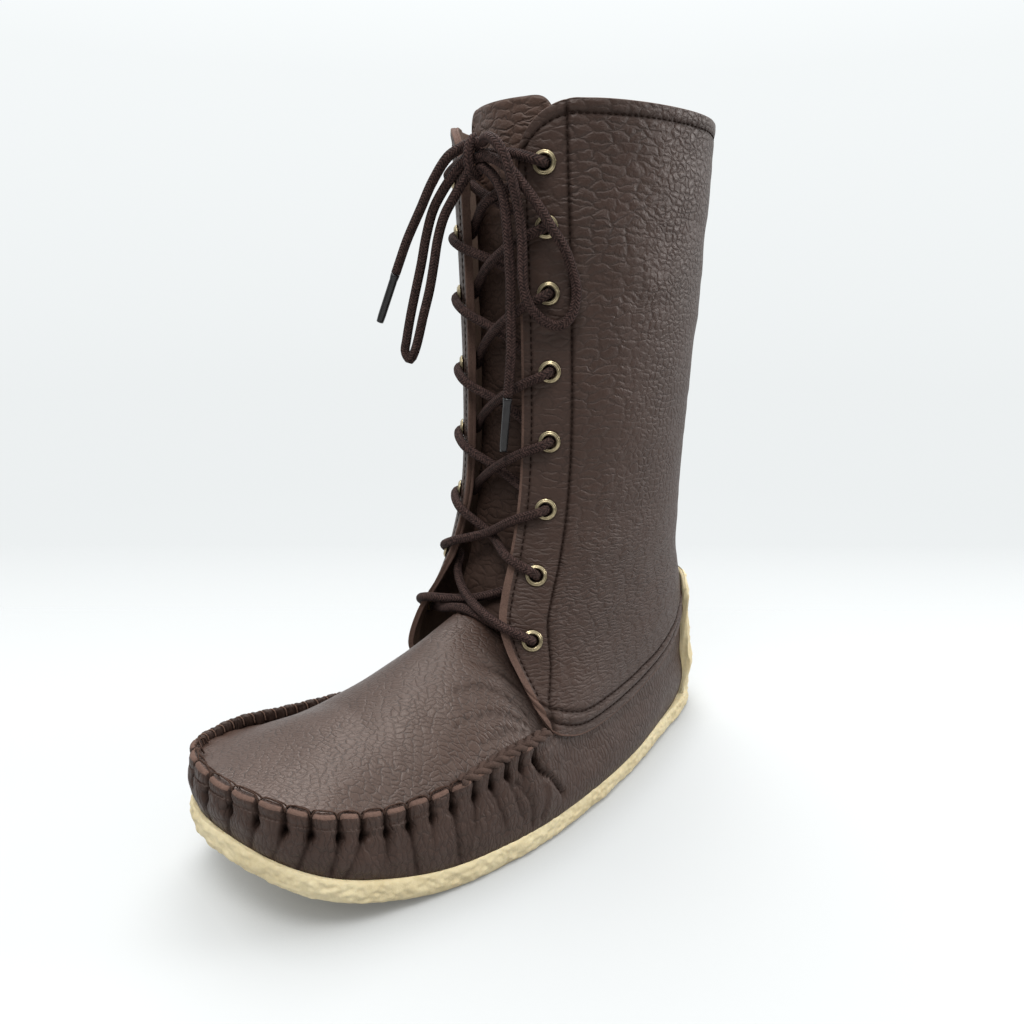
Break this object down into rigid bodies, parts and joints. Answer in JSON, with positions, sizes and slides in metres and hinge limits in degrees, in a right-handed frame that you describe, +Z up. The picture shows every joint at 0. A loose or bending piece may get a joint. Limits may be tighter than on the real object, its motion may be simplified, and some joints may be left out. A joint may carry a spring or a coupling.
{
  "type": "snowshoe boot",
  "caption": "Tall dark-brown pebbled-leather moccasin boot with brass eyelets, a brown lace tied in a bow and a cream crepe sole.",
  "frame": {"origin": "on the floor, under the middle of the boot's box", "axes": "+X towards the outer side of the foot, -Y towards the toe, +Z up the leg"},
  "size_m": [0.1134, 0.285, 0.3059],
  "materials": {
    "leather": "pebbled, soft sheen",
    "crepe": "matte, crinkled edge",
    "lining": "matte suede",
    "brass": "antique, half gloss",
    "lace": "braided, matte",
    "tip": "smooth, half clear"
  },
  "bodies": {
    "root": {"outsole": "crepe", "heel_guard": "crepe", "insole": "lining", "upper": "leather", "shaft": "leather", "tongue": "leather", "eyelet_lateral_1": "brass", "eyelet_lateral_2": "brass", "eyelet_lateral_3": "brass", "eyelet_lateral_4": "brass", "eyelet_lateral_5": "brass", "eyelet_lateral_6": "brass", "eyelet_lateral_7": "brass", "eyelet_lateral_8": "brass", "eyelet_medial_1": "brass", "eyelet_medial_2": "brass", "eyelet_medial_3": "brass", "eyelet_medial_4": "brass", "eyelet_medial_5": "brass", "eyelet_medial_6": "brass", "eyelet_medial_7": "brass", "eyelet_medial_8": "brass", "lace_cross_1": "lace", "lace_cross_2": "lace", "lace_cross_3": "lace", "lace_cross_4": "lace", "lace_cross_5": "lace", "lace_cross_6": "lace", "lace_cross_7": "lace", "lace_bar_top": "lace", "lace_bar_bottom": "lace", "lace_knot": "lace", "lace_loop_right": "lace", "lace_loop_left": "lace", "lace_end_right": "lace", "lace_end_left": "lace", "lace_tip_right": "tip", "lace_tip_left": "tip"}
  },
  "joints": []
}
